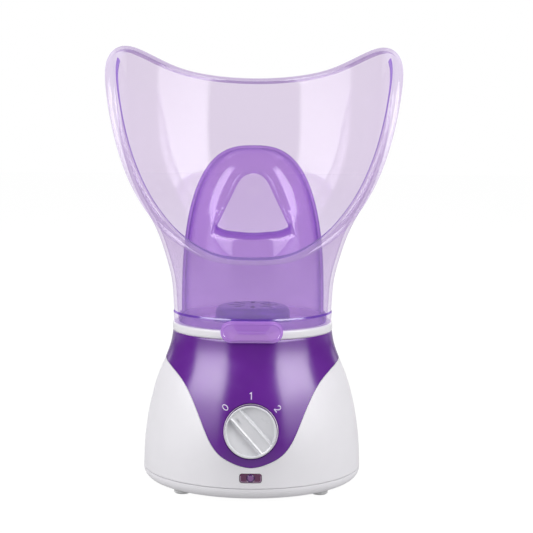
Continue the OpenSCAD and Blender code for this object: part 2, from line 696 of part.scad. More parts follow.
face_hood();
nose_cone();
steam_cap();
collar_ring();
upper_housing();
lower_housing();
base_plate();
foot(2);  // foot_front_left
foot(3);  // foot_front_right
foot(1);  // foot_back_left
foot(0);  // foot_back_right
control_knob();
switch_shaft();
switch_body();
switch_nut();
indicator_lens();
neon_lamp();
lamp_sleeve();
water_bowl();
bowl_gasket();
bowl_clamp();
heater_element();
heater_terminals();
heater_plate();
thermostat();
thermostat_bracket();
bracket_nuts();
thermal_fuse();
cord_gland();
cord_clamp();
terminal_block();
housing_screws();
bowl_clamp_screws();
cord_clamp_screws();
hookup(wire_live_route, "saddlebrown");  // wire_live
hookup(wire_neutral_route, "royalblue");  // wire_neutral
hookup(wire_switched_route, "saddlebrown");  // wire_switched
hookup(wire_fuse_route, "saddlebrown");  // wire_fuse
hookup(wire_heater_route, "saddlebrown");  // wire_heater
hookup(wire_lamp_live_route, "saddlebrown");  // wire_lamp_live
hookup(wire_lamp_neutral_route, "royalblue");  // wire_lamp_neutral
half_power_diode();
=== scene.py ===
"""Looks of a table-top facial steamer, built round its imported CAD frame.

Shapes are worked out in millimetres, in the CAD's frame: +Z up, the knob faces -Y.
"""
import json
import math

import bmesh
import bpy
import numpy as np
from mathutils import Matrix, Vector

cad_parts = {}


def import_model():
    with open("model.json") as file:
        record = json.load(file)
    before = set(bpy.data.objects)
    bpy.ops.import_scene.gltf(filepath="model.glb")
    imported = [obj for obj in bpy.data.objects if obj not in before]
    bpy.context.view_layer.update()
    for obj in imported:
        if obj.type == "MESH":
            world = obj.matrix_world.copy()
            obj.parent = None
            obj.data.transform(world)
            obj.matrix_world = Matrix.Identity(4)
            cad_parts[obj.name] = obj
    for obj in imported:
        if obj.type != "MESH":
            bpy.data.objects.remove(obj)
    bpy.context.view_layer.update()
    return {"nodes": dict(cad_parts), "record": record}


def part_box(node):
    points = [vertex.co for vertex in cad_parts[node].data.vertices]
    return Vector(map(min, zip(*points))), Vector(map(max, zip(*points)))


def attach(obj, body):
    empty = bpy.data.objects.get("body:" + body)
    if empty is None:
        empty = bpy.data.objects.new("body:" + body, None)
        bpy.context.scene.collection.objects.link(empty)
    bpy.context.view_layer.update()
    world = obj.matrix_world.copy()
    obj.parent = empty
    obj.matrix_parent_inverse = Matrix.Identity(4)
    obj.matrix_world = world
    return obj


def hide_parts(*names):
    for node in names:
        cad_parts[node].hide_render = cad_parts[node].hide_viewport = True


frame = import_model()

MM = 0.001
SHARP_DEGREES = 38


# ---- small tools ----


def box_mm(node):
    """Lowest and highest corner of a CAD node, in millimetres."""
    low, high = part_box(node)
    return np.array(low) / MM, np.array(high) / MM


def smooth(table, x):
    """The natural cubic spline through the rows (x, y) of a table, at x, which may be an array."""
    t = np.array(table, float)
    h, n = np.diff(t[:, 0]), len(t)
    system, right = np.eye(n), np.zeros(n)
    for i in range(1, n - 1):
        system[i, i - 1 : i + 2] = h[i - 1], 2 * (h[i - 1] + h[i]), h[i]
        right[i] = 6 * ((t[i + 1, 1] - t[i, 1]) / h[i] - (t[i, 1] - t[i - 1, 1]) / h[i - 1])
    bend = np.linalg.solve(system, right)
    x = np.asarray(x, float)
    i = np.clip(np.searchsorted(t[:, 0], x, side="right") - 1, 0, n - 2)
    a, b = (t[i + 1, 0] - x) / h[i], (x - t[i, 0]) / h[i]
    pull = (a**3 - a) * bend[i] + (b**3 - b) * bend[i + 1]
    return a * t[i, 1] + b * t[i + 1, 1] + pull * h[i] ** 2 / 6


def fade(x, start, end):
    """0 before start, 1 after end, and smooth between."""
    s = np.clip((np.asarray(x, float) - start) / (end - start), 0, 1)
    return s * s * (3 - 2 * s)


def unit(v):
    """Vectors along the last axis, each made one unit long."""
    return v / np.linalg.norm(v, axis=-1, keepdims=True)


def arc(cx, cy, r, start, end, steps):
    """Points of an arc, angles in degrees."""
    a = np.radians(np.linspace(start, end, steps))
    return [(cx + r * math.cos(t), cy + r * math.sin(t)) for t in a]


def round_rect(w, h, r, steps=8):
    """Outline of a rectangle with round corners, anticlockwise."""
    out = []
    for q, (sx, sy) in enumerate([(1, 1), (-1, 1), (-1, -1), (1, -1)]):
        out += arc(sx * (w / 2 - r), sy * (h / 2 - r), r, 90 * q, 90 * q + 90, steps)
    return out


def new_object(name, mesh, material, body):
    """An object that rides on a body, smooth but for its sharp edges. material is one material, or
    a tuple of them for the mesh's slots."""
    ob = bpy.data.objects.new(name, mesh)
    bpy.context.scene.collection.objects.link(ob)
    for look in material if isinstance(material, tuple) else (material,):
        mesh.materials.append(look)
    mesh.shade_smooth()
    mesh.set_sharp_from_angle(angle=math.radians(SHARP_DEGREES))
    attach(ob, body)
    return ob


def mesh_from(name, verts, faces):
    """A mesh with outward normals from points in millimetres."""
    mesh = bpy.data.meshes.new(name)
    mesh.from_pydata([tuple(p) for p in np.asarray(verts, float) * MM], [], faces)
    bm = bmesh.new()
    bm.from_mesh(mesh)
    bmesh.ops.remove_doubles(bm, verts=bm.verts, dist=1e-7)
    bmesh.ops.recalc_face_normals(bm, faces=bm.faces)
    bm.to_mesh(mesh)
    bm.free()
    return mesh


def skin(name, rings, closed=False, caps=False, looks=None):
    """A skin over rings of points. closed joins the last ring to the first, caps fills the ends,
    and looks gives the material slots of the strip that follows each ring, column by column."""
    rings = np.asarray(rings, float)
    m, n = rings.shape[:2]
    j = np.arange(n)
    k = (j + 1) % n
    faces = []
    for i in range(m if closed else m - 1):
        a, b = i * n, ((i + 1) % m) * n
        faces += [tuple(map(int, f)) for f in np.stack([a + j, b + j, b + k, a + k], 1)]
    if caps:
        faces.append(tuple(range(n)))
        faces.append(tuple(range((m - 1) * n, m * n)))
    mesh = mesh_from(name, rings.reshape(-1, 3), faces)
    if looks is not None:
        mesh.polygons.foreach_set("material_index", looks.ravel()[: len(mesh.polygons)])
    return mesh


def turned(profile, columns):
    """Rings round the Z axis from (r, z) points."""
    t = np.linspace(0, 2 * math.pi, columns, endpoint=False)
    p = np.array(profile, float)
    return np.stack(
        [
            p[:, None, 0] * np.sin(t),
            -p[:, None, 0] * np.cos(t),
            np.repeat(p[:, 1:2], columns, 1),
        ],
        -1,
    )


def prism(name, outline, low, high):
    """A straight solid over an outline of (x, y) points."""
    outline = np.array(outline, float)
    rings = [np.column_stack([outline, np.full(len(outline), z)]) for z in (low, high)]
    return skin(name, rings, caps=True)


def moved(mesh, matrix):
    """The mesh after a move given in millimetres."""
    scale = Matrix.Diagonal((MM, MM, MM, 1))
    mesh.transform(scale @ matrix @ scale.inverted())
    return mesh


def joined(name, meshes):
    """One mesh from several."""
    bm = bmesh.new()
    for mesh in meshes:
        bm.from_mesh(mesh)
    out = bpy.data.meshes.new(name)
    bm.to_mesh(out)
    bm.free()
    return out


def boolean(mesh, tool, operation="DIFFERENCE"):
    """The mesh with a tool mesh cut from it, added to it or crossed with it."""
    body = bpy.data.objects.new("cut_body", mesh)
    knife = bpy.data.objects.new("cut_tool", tool)
    for ob in (body, knife):
        bpy.context.scene.collection.objects.link(ob)
    mod = body.modifiers.new("cut", "BOOLEAN")
    mod.operation = operation
    mod.solver = "EXACT"
    mod.object = knife
    bpy.context.view_layer.update()
    graph = bpy.context.evaluated_depsgraph_get()
    made = bpy.data.meshes.new_from_object(body.evaluated_get(graph))
    made.name = mesh.name
    for ob in (body, knife):
        bpy.data.objects.remove(ob)
    return made


# ---- materials ----

FOOT_FADE = (0.125, 0.175)  # heights in metres
VIOLET = (0.125, 0.011, 0.28)


def node_material(name):
    """A new material, its node tree and its Principled shader."""
    mat = bpy.data.materials.new(name)
    mat.use_nodes = True
    nt = mat.node_tree
    return mat, nt, nt.nodes["Principled BSDF"]


def noise(nt, scale, detail, stretch=(1, 1, 1)):
    """Noise in object space; scale is in features per metre."""
    coords = nt.nodes.new("ShaderNodeTexCoord")
    mapping = nt.nodes.new("ShaderNodeMapping")
    mapping.inputs["Scale"].default_value = stretch
    nt.links.new(coords.outputs["Object"], mapping.inputs["Vector"])
    tex = nt.nodes.new("ShaderNodeTexNoise")
    tex.inputs["Scale"].default_value = scale
    tex.inputs["Detail"].default_value = detail
    nt.links.new(mapping.outputs["Vector"], tex.inputs["Vector"])
    return tex.outputs["Fac"]


def ramp(nt, value, stops):
    """A colour ramp over (position, colour or grey) stops."""
    node = nt.nodes.new("ShaderNodeValToRGB")
    while len(node.color_ramp.elements) < len(stops):
        node.color_ramp.elements.new(0.5)
    for element, (position, colour) in zip(node.color_ramp.elements, stops):
        element.position = position
        rgb = colour if isinstance(colour, tuple) else (colour,) * 3
        element.color = (*rgb, 1)
    nt.links.new(value, node.inputs["Fac"])
    return node.outputs["Color"]


def bump(nt, shader, height, depth):
    """Relief from a height; depth is in metres."""
    node = nt.nodes.new("ShaderNodeBump")
    node.inputs["Strength"].default_value = 1.0
    node.inputs["Distance"].default_value = depth
    nt.links.new(height, node.inputs["Height"])
    nt.links.new(node.outputs["Normal"], shader.inputs["Normal"])


def plastic(
    name, colour, rough, grain=9000, relief=2e-6, vary=0.06, spread=0.04, coat=0.0, ior=1.5
):
    """Moulded plastic: a faint drift of colour and gloss, and a fine grain. vary and spread are how
    far the colour and the roughness drift."""
    mat, nt, p = node_material(name)
    drift = noise(nt, 45, 3)
    low = tuple(c * (1 - vary) for c in colour)
    high = tuple(min(1.0, c * (1 + vary)) for c in colour)
    nt.links.new(ramp(nt, drift, [(0.35, low), (0.65, high)]), p.inputs["Base Color"])
    smear = noise(nt, 160, 4)
    nt.links.new(
        ramp(nt, smear, [(0.3, max(0.01, rough - spread)), (0.7, rough + spread)]),
        p.inputs["Roughness"],
    )
    bump(nt, p, noise(nt, grain, 2), relief)
    p.inputs["IOR"].default_value = ior
    p.inputs["Coat Weight"].default_value = coat
    p.inputs["Coat Roughness"].default_value = 0.03
    return mat


def metal(name, colour, rough, brushed=(1, 1, 12), spread=0.1):
    """Plated or bare metal with fine brush marks along one direction."""
    mat, nt, p = node_material(name)
    marks = noise(nt, 900, 5, brushed)
    low = tuple(c * 0.86 for c in colour)
    nt.links.new(ramp(nt, marks, [(0.3, low), (0.7, colour)]), p.inputs["Base Color"])
    nt.links.new(
        ramp(nt, marks, [(0.2, rough + spread), (0.8, max(0.02, rough - spread))]),
        p.inputs["Roughness"],
    )
    bump(nt, p, marks, 8e-6)
    p.inputs["Metallic"].default_value = 1.0
    return mat


def foot_painted_light(nt, colour, most):
    """Painted light: the colour made clearer towards the object's foot, by the share most below
    FOOT_FADE, to brighten the walls there.
    """
    height = nt.nodes.new("ShaderNodeSeparateXYZ")
    nt.links.new(nt.nodes.new("ShaderNodeTexCoord").outputs["Object"], height.inputs[0])
    share = nt.nodes.new("ShaderNodeMapRange")
    share.inputs["From Min"].default_value, share.inputs["From Max"].default_value = FOOT_FADE
    share.inputs["To Min"].default_value = most
    share.inputs["To Max"].default_value = 0.0
    nt.links.new(height.outputs["Z"], share.inputs["Value"])
    clearer = nt.nodes.new("ShaderNodeMix")
    clearer.data_type = "RGBA"
    clearer.inputs["B"].default_value = (0.97, 0.95, 1.0, 1.0)
    nt.links.new(share.outputs["Result"], clearer.inputs["Factor"])
    nt.links.new(colour, clearer.inputs["A"])
    return clearer.outputs["Result"]


def clear_plastic(name, tint, edge, body, milk, turn=(0.6, 0.85), foot=0.0, ior=1.9):
    """Tinted clear plastic: what is behind shows through in the tint, in the edge colour where the
    wall is seen edge-on, under a glossy film of the body colour that scatters the share milk of the
    light. turn gives where, from 0 face-on to 1 edge-on, the tint deepens, and foot how much
    clearer it is made towards the foot, as painted light."""
    mat, nt, p = node_material(name)
    drift = noise(nt, 30, 3)
    low = tuple(c * 0.97 for c in body)
    nt.links.new(ramp(nt, drift, [(0.35, low), (0.65, body)]), p.inputs["Base Color"])
    smear = noise(nt, 120, 4)
    nt.links.new(ramp(nt, smear, [(0.3, 0.04), (0.7, 0.08)]), p.inputs["Roughness"])
    p.inputs["Specular IOR Level"].default_value = 1.0
    p.inputs["IOR"].default_value = ior
    angle = nt.nodes.new("ShaderNodeLayerWeight")
    angle.inputs["Blend"].default_value = 0.5
    through = nt.nodes.new("ShaderNodeBsdfTransparent")
    middle = tuple(c**1.15 for c in tint)
    deep = tuple((c * e) ** 0.5 for c, e in zip(tint, edge))
    colour = ramp(
        nt, angle.outputs["Facing"], [(0.0, tint), (turn[0], middle), (turn[1], deep), (1.0, edge)]
    )
    if foot:
        # Painted light: the tint clears towards the foot.
        colour = foot_painted_light(nt, colour, foot)
    nt.links.new(colour, through.inputs["Color"])
    blend = nt.nodes.new("ShaderNodeMixShader")
    cover = ramp(nt, angle.outputs["Facing"], [(0.0, milk), (0.75, milk * 1.15), (1.0, milk + 0.2)])
    nt.links.new(cover, blend.inputs["Fac"])
    nt.links.new(through.outputs[0], blend.inputs[1])
    nt.links.new(p.outputs[0], blend.inputs[2])
    nt.links.new(blend.outputs[0], nt.nodes["Material Output"].inputs["Surface"])
    return mat


violet_gloss = plastic("violet_gloss", VIOLET, 0.2, vary=0.05, spread=0.03, ior=1.66)
# Painted light: a near-white lilac for parts in the shade under the hood, and for a ring that
# stands for a highlight.
violet_painted_light = plastic("violet_painted_light", (0.95, 0.82, 1.0), 0.4)
cap_violet = plastic("cap_violet", (0.12, 0.008, 0.42), 0.3)
white_gloss = plastic("white_gloss", (0.85, 0.835, 0.875), 0.42, vary=0.012)
hood_clear = clear_plastic(
    "hood_clear", (0.885, 0.845, 0.915), (0.75, 0.66, 0.86), (0.9, 0.72, 0.97), 0.12,
    turn=(0.8, 0.95), foot=0.6, ior=1.8,
)
# Painted highlight: a paler, milkier copy of the hood's plastic for the rolled lip, standing for
# the sheen on its curl.
lip_painted_sheen = clear_plastic(
    "lip_painted_sheen", (0.9, 0.855, 0.945), (0.55, 0.43, 0.8), (0.86, 0.75, 0.94), 0.16,
    turn=(0.75, 0.93), foot=0.4, ior=1.75,
)
# Painted shade: a darker copy of the hood's plastic for the rim at the back.
rim_painted_shade = clear_plastic(
    "rim_painted_shade", (0.83, 0.77, 0.89), (0.55, 0.43, 0.7), (0.75, 0.62, 0.85), 0.16, turn=(0.75, 0.93)
)
# Painted shade: a dark copy of the hood's plastic for the crease under the lip and the foot's ledge
# at the front.
crease_painted_shade = clear_plastic(
    "crease_painted_shade", (0.36, 0.2, 0.64), (0.26, 0.14, 0.52), (0.36, 0.16, 0.8), 0.34
)
nose_clear = clear_plastic(
    "nose_clear", (0.85, 0.745, 0.935), (0.4, 0.19, 0.66), (0.7, 0.4, 0.92), 0.12,
    turn=(0.55, 0.85),
)
# Painted light: a clearer copy of the cone's plastic for its back half, brightening what shows
# through the opening.
nose_back_painted_light = clear_plastic(
    "nose_back_painted_light", (0.955, 0.915, 0.985), (0.42, 0.2, 0.68), (0.8, 0.55, 0.97), 0.12,
    turn=(0.55, 0.85),
)
# Painted shade: a darker copy of the cone's plastic for the sill below the opening.
nose_painted_shade = clear_plastic(
    "nose_painted_shade", (0.6, 0.38, 0.78), (0.3, 0.15, 0.55), (0.4, 0.18, 0.72), 0.3
)
tab_clear = clear_plastic(
    "tab_clear", (0.88, 0.66, 0.99), (0.4, 0.22, 0.82), (0.7, 0.34, 1.0), 0.6
)
knob_silver = plastic("knob_silver", (0.7, 0.7, 0.735), 0.3, grain=14000, vary=0.05, coat=0.4)
print_white = plastic("print_white", (0.78, 0.7, 0.86), 0.4)
lens_dark = plastic("lens_dark", (0.12, 0.025, 0.09), 0.15, coat=0.5)
lens_ring = plastic("lens_ring", (0.06, 0.008, 0.11), 0.15, coat=0.5)
lens_eye = plastic("lens_eye", (0.24, 0.1, 0.3), 0.2, coat=0.5)
# Painted highlight: a pale colour for the lamp window's rim.
lens_edge_highlight = plastic("lens_edge_highlight", (0.42, 0.28, 0.42), 0.2, coat=0.5)
steel = metal("steel", (0.62, 0.62, 0.63), 0.3)
aluminium = metal("aluminium", (0.72, 0.72, 0.73), 0.34, (6, 6, 1))
bowl_coating = plastic("bowl_coating", (0.09, 0.09, 0.095), 0.42, grain=5000, relief=1e-5)
sheath = metal("sheath", (0.16, 0.15, 0.14), 0.5, (1, 1, 1))
rubber = plastic("rubber", (0.55, 0.55, 0.56), 0.62, grain=3000, relief=1.2e-5)
silicone = plastic("silicone", (0.74, 0.72, 0.68), 0.5, grain=2500, relief=8e-6)
phenolic = plastic("phenolic", (0.3, 0.17, 0.08), 0.5, grain=1800, relief=1e-5, vary=0.25)
dark_plastic = plastic("dark_plastic", (0.02, 0.02, 0.022), 0.42, grain=4000, relief=6e-6)
white_plastic = plastic("white_plastic", (0.72, 0.72, 0.7), 0.45, grain=3000, relief=6e-6)
ceramic = plastic("ceramic", (0.72, 0.7, 0.64), 0.55, grain=2500, relief=1.2e-5)
brown_wire = plastic("brown_wire", (0.12, 0.045, 0.02), 0.38)
blue_wire = plastic("blue_wire", (0.03, 0.09, 0.34), 0.38)
lamp_glass = plastic("lamp_glass", (0.75, 0.3, 0.35), 0.1, coat=1.0)

CAD_LOOKS = {
    white_gloss: ["base_plate"],
    rubber: ["foot_front_left", "foot_front_right", "foot_back_left", "foot_back_right"],
    steel: [
        "switch_shaft", "switch_nut", "bowl_clamp", "heater_terminals", "thermostat_bracket",
        "bracket_nuts", "housing_screws", "bowl_clamp_screws", "cord_clamp_screws",
    ],
    aluminium: ["heater_plate"],
    bowl_coating: ["water_bowl"],
    sheath: ["heater_element"],
    silicone: ["bowl_gasket"],
    phenolic: ["switch_body"],
    dark_plastic: ["lamp_sleeve", "thermostat", "cord_clamp", "half_power_diode"],
    white_plastic: ["terminal_block", "cord_gland"],
    ceramic: ["thermal_fuse"],
    brown_wire: ["wire_live", "wire_switched", "wire_fuse", "wire_heater", "wire_lamp_live"],
    blue_wire: ["wire_neutral", "wire_lamp_neutral"],
    lamp_glass: ["neon_lamp"],
}
for look, nodes in CAD_LOOKS.items():
    for node in nodes:
        materials = frame["nodes"][node].data.materials
        materials.clear()
        materials.append(look)


# ---- body ----

SEAM_Z = box_mm("lower_housing")[0][2]
SHOULDER_Z = box_mm("collar_ring")[0][2] - 0.05
UPSTAND_Z = box_mm("upper_housing")[1][2]
BASE_R = 66.8
NECK_R = 48.8

# The body's outline: share of the height, share of the way from the neck's radius to the base's.
BELL = [
    (0, 1), (0.16, 0.972), (0.32, 0.894), (0.49, 0.744), (0.64, 0.55), (0.79, 0.267),
    (0.91, 0.072), (1, 0),
]

# The joint between the housings at the front: x, z.
FRONT_DIP = [
    (-24.3, 35.6), (-13, 24.8), (0, 21.2), (13, 24.8), (24.3, 35.6), (30, 48), (35.8, 60),
    (41, 67.3), (46, 71.5), (53.4, 75.5), (60, 77),
]
SIDE_Z = 75.5
BACK_DIP_SHARE = 0.35
WALL = 2.2
UPPER_WALL = 3.6
BODY_COLUMNS = 288
JOINT_GAP = 0.05
JOINT_ROUND = 0.3


def body_r(z):
    """Radius of the body's outside at a height."""
    share = np.clip((np.asarray(z, float) - SEAM_Z) / (SHOULDER_Z - SEAM_Z), 0, 1)
    return NECK_R + (BASE_R - NECK_R) * smooth(BELL, share)


def dip_z(turn):
    """Height of the joint between the housings at angles from the front."""
    low, high = np.full_like(turn, SEAM_Z), np.full_like(turn, SHOULDER_Z)
    for _ in range(30):
        mid = (low + high) / 2
        front = smooth(FRONT_DIP, np.abs(body_r(mid) * np.sin(turn)))
        joint = np.where(np.cos(turn) > 0, front, SIDE_Z - BACK_DIP_SHARE * (SIDE_Z - front))
        low, high = np.where(mid < joint, mid, low), np.where(mid < joint, high, mid)
    return (low + high) / 2


def bell_rings(columns_of_rz, turn):
    """Rings from a list of (r, z) pairs, each an array over the turn."""
    rings = []
    for r, z in columns_of_rz:
        r, z = np.broadcast_to(r, turn.shape), np.broadcast_to(z, turn.shape)
        rings.append(np.stack([r * np.sin(turn), -r * np.cos(turn), z], -1))
    return rings


def bell_face(z0, z1, inset, rows):
    """The body's outline from z0 to z1, moved inwards by inset."""
    return [(body_r(z) - inset, z) for z in (z0 + (z1 - z0) * t for t in np.linspace(0, 1, rows))]


body_turn = np.linspace(0, 2 * math.pi, BODY_COLUMNS, endpoint=False)
joint_z = dip_z(body_turn)


def edge_round(z, b, start, end, steps=5):
    """A rounded edge of radius b on the body's outside, its corner at height z."""
    a = np.radians(np.linspace(start, end, steps))
    up = b if start < 0 else -b
    return [(body_r(z + up) - b + b * math.cos(t), z + up + b * math.sin(t)) for t in a]


def knob_matrix():
    """From the knob's own axes, with z out of its face, to the object's."""
    joint = next(j for j in frame["record"]["behaviour"]["joints"] if j["name"] == "knob_turn")
    out = -Vector(joint["axis"])
    right = Vector((1, 0, 0))
    up = out.cross(right)
    turn = Matrix((right, up, out)).transposed().to_4x4()
    return Matrix.Translation(Vector(joint["pos_m"]) / MM) @ turn


KNOB = knob_matrix()
POCKET_R = 16.3
POCKET_FLOOR = -2.4
POCKET_ROUND = 0.4

# The cutters for the openings in the white wall start CUT_FROM from the axis.
CUT_FROM = 56
CUT_LENGTH = 20
GLAND_R = 5.4


def pocket():
    """What the knob's recess takes out of the body."""
    corner = arc(POCKET_R - POCKET_ROUND, POCKET_FLOOR + POCKET_ROUND, POCKET_ROUND, -90, 0, 5)
    floor = [(0.01, POCKET_FLOOR), (POCKET_R - POCKET_ROUND, POCKET_FLOOR)]
    rings = turned(floor + corner + [(POCKET_R, 8), (0.01, 8)], 128)
    return moved(skin("pocket", rings, caps=True), KNOB)


def upper_housing():
    """The violet body, with painted light on its top inside the collar: a pale colour that lifts
    the shade under the hood.
    """
    b = JOINT_ROUND
    low = joint_z + JOINT_GAP
    top = SHOULDER_Z - 0.4
    rows = edge_round(low, b, -90, 0)
    rows += bell_face(low + b, top, 0, 44)[1:]
    rows += [(NECK_R - 0.12, SHOULDER_Z - 0.12), (NECK_R - 0.4, SHOULDER_Z)]
    # The upstand inside the collar, the ledge over the bowl's seal, and the inside of the wall.
    rows += [(43.7, SHOULDER_Z), (43.45, SHOULDER_Z + 0.15)]
    rows += arc(43.0, UPSTAND_Z - 0.4, 0.4, 0, 90, 5) + arc(42.2, UPSTAND_Z - 0.4, 0.4, 90, 180, 5)
    rows += [(41.8, 96.3), (41.5, 96), (38.1, 96)] + arc(38.1, 95.7, 0.3, 90, 180, 4)
    rows += [(37.8, 94), (41.8, 94), (41.8, 90.3), (NECK_R - UPPER_WALL, 90.3)]
    rows += bell_face(90, low + b, UPPER_WALL, 24)
    mesh = skin("upper_housing_skin", bell_rings(rows, body_turn), closed=True)
    mesh = boolean(mesh, pocket())
    ob = new_object("upper_housing_skin", mesh, (violet_gloss, violet_painted_light), "housing")
    # Painted light: the faces above the shoulder get the pale colour, lifting their shade inside
    # the hood.
    for face in mesh.polygons:
        if face.center.z > (SHOULDER_Z - 0.05) * MM:
            face.material_index = 1
    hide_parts("upper_housing")


def pocket_edge_highlight():
    """A thin bright ring on the pocket's floor round the knob: a painted highlight along the
    pocket's edge.
    """
    rings = turned(arc(15.55, POCKET_FLOOR + 0.25, 0.25, 0, 315, 8), 128)
    mesh = moved(skin("pocket_edge_highlight", rings, closed=True), KNOB)
    new_object("pocket_edge_highlight", mesh, violet_painted_light, "housing")


def through_wall(node, side):
    """From a cutter's own axes, with z along it, to the body's wall at a node's height. side is -1
    for the front and 1 for the back."""
    low, high = box_mm(node)
    place = Matrix.Translation((0, side * CUT_FROM, (low[2] + high[2]) / 2))
    return place @ Matrix.Rotation(-side * math.pi / 2, 4, "X")


def lower_housing():
    """The white body with its lamp window and the hole for the cord gland."""
    b, foot_round = JOINT_ROUND, 0.35
    high = joint_z - JOINT_GAP
    low = SEAM_Z + 0.08
    rows = edge_round(low, foot_round, -90, 0)
    rows += bell_face(low + foot_round, high - b, 0, 44)[1:]
    rows += edge_round(high, b, 0, 90)[1:]
    rows += bell_face(high - b, low + foot_round, WALL, 30)
    mesh = skin("lower_housing_skin", bell_rings(rows, body_turn), closed=True)
    window = prism("window", round_rect(13.1, 5.7, 1.7), 0, CUT_LENGTH)
    mesh = boolean(mesh, moved(window, through_wall("indicator_lens", -1)))
    hole = skin("hole", turned([(GLAND_R, 0), (GLAND_R, CUT_LENGTH)], 64), caps=True)
    mesh = boolean(mesh, moved(hole, through_wall("cord_gland", 1)))
    ob = new_object("lower_housing_skin", mesh, white_gloss, "housing")
    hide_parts("lower_housing")


def collar_ring():
    """The white ring with its rounded rim."""
    low, high = box_mm("collar_ring")
    r, z0, z1 = high[0], low[2], high[2]
    b, bore = 1.2, 43.7
    profile = [(bore, z0), (r - b, z0)] + arc(r - b, z0 + b, b, -90, 0, 8)[1:]
    profile += arc(r - b, z1 - b, b, 0, 90, 8) + [(bore, z1)]
    ob = new_object(
        "collar_ring_skin", skin("collar_ring_skin", turned(profile, 288), closed=True),
        white_gloss, "housing",
    )
    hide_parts("collar_ring")


# ---- hood ----

HOOD_WALL = 2.0
HOOD_COLUMNS = 384
HOOD_NECK = 47.8
HOOD_Z = 98.0

# Reach of the hood's wall to the sides, the front and the back: z, distance from the axis.
HOOD_SIDE = [
    (HOOD_Z, HOOD_NECK), (110, HOOD_NECK + 0.8), (124, 49.8), (137, 53), (155, 59.3),
    (173, 68.9), (188, 75.4), (203, 79.7), (221, 82.4), (245, 84.1), (275, 85.2),
]
HOOD_FRONT = [
    (HOOD_Z, HOOD_NECK), (110, HOOD_NECK + 0.3), (124, 50.3), (137, 55.7), (150, 62.8),
    (170, 71.7), (190, 75.1), (221, 76.8), (275, 78.8),
]
HOOD_BACK = [
    (HOOD_Z, HOOD_NECK), (110, HOOD_NECK + 0.1), (124, 48.9), (137, 50.4), (155, 53),
    (173, 56.4), (194, 60.4), (221, 65.6), (245, 69.4), (275, 72),
]

# The hood's rim seen from the side: y, z.
RIM_CUT = [
    (-58, 139), (-55, 139.9), (-49, 146), (-42.5, 154), (-37, 165), (-30, 193.8), (-22, 217.9),
    (-11, 238.5), (3, 252.4), (18, 260.8), (33, 262.1), (47, 256.9), (60, 249.1), (70, 244.4),
]

# The rolled lip: z, radius of its roll.
LIP = [
    (130, 1.49), (142, 1.92), (157, 2.21), (171, 2.21), (186, 2.4), (202, 2.35), (220, 2.3),
    (245, 2.16), (275, 2.16),
]
LIP_TURN = 150
LIP_ROWS = 14
BEAD_TURN = 13

# The painted shade line under the lip, a dark copy of the plastic where the wall is seen edge-on,
# reaches CREASE degrees up its roll. The other two are cosines of the angle from the front: where
# that line ends, and where the rim at the back, painted darker as painted shade, begins.
CREASE = 52
CREASE_END = -0.12
RIM_BACK = -0.3

# The foot is thicker outside, up to a small ledge that falls off over these heights.
LEDGE_Z = [103.9, 104.2, 104.5, 104.8, 105.1]
LEDGE_OUT = 0.5
FOOT_ROWS = [HOOD_Z, 99, 101.5, *LEDGE_Z, 106.5, 108.5]

# The finger tab, and half the width of the web behind it.
TAB_W = 36
TAB_LOW = 91.2
TAB_HIGH = 103.9
TAB_BACK = 49.35
TAB_FRONT = 51.7
TAB_CORNER = 6.2
TAB_SLIM = 1.15
WEB_HALF = 17.5

# The tab's face from its edge to its middle: share of the outline, height over TAB_FRONT.
TAB_FACE = [
    (1.0, -0.8), (0.985, -0.25), (0.955, 0), (0.86, 0), (0.84, 0.22), (0.8, 0.3), (0.76, 0.22),
    (0.74, 0), (0.5, 0.05), (0.2, 0.08), (0.01, 0.08),
]


def hood_at(turn, z):
    """Points of the hood's outside at angles from the front and at heights."""
    depth = np.where(np.cos(turn) > 0, smooth(HOOD_FRONT, z), smooth(HOOD_BACK, z))
    return np.stack([smooth(HOOD_SIDE, z) * np.sin(turn), -depth * np.cos(turn), z], -1)


def rim_z(turn):
    """Height of the hood's rim at angles from the front."""
    low, high = np.full_like(turn, 130), np.full_like(turn, 272)
    for _ in range(30):
        mid = (low + high) / 2
        over = mid > smooth(RIM_CUT, hood_at(turn, mid)[..., 1])
        low, high = np.where(over, low, mid), np.where(over, mid, high)
    return (low + high) / 2


def grid_normals(grid):
    """Normals of rings of points that run round, from the ring's own neighbours."""
    along = np.roll(grid, -1, 1) - np.roll(grid, 1, 1)
    across = np.gradient(grid, axis=0)
    return unit(np.cross(along, across))


def hood_wall(turn):
    """Rows of the wall's outside, with its foot ledge, and of its inside, from the neck to the rim,
    and the way out at the rim."""
    rise = rim_z(turn) - FOOT_ROWS[-1]
    heights = [np.full_like(turn, z) for z in FOOT_ROWS]
    heights += [FOOT_ROWS[-1] + rise * t for t in np.linspace(0, 1, 44)[1:]]
    outside = np.array([hood_at(turn, z) for z in heights])
    normals = grid_normals(outside)
    inside = outside - HOOD_WALL * normals
    inside[0, :, 2] = HOOD_Z
    ledge = LEDGE_OUT * (1 - fade(outside[..., 2:], LEDGE_Z[0], LEDGE_Z[-1]))
    return outside + ledge * normals, inside, normals[-1]


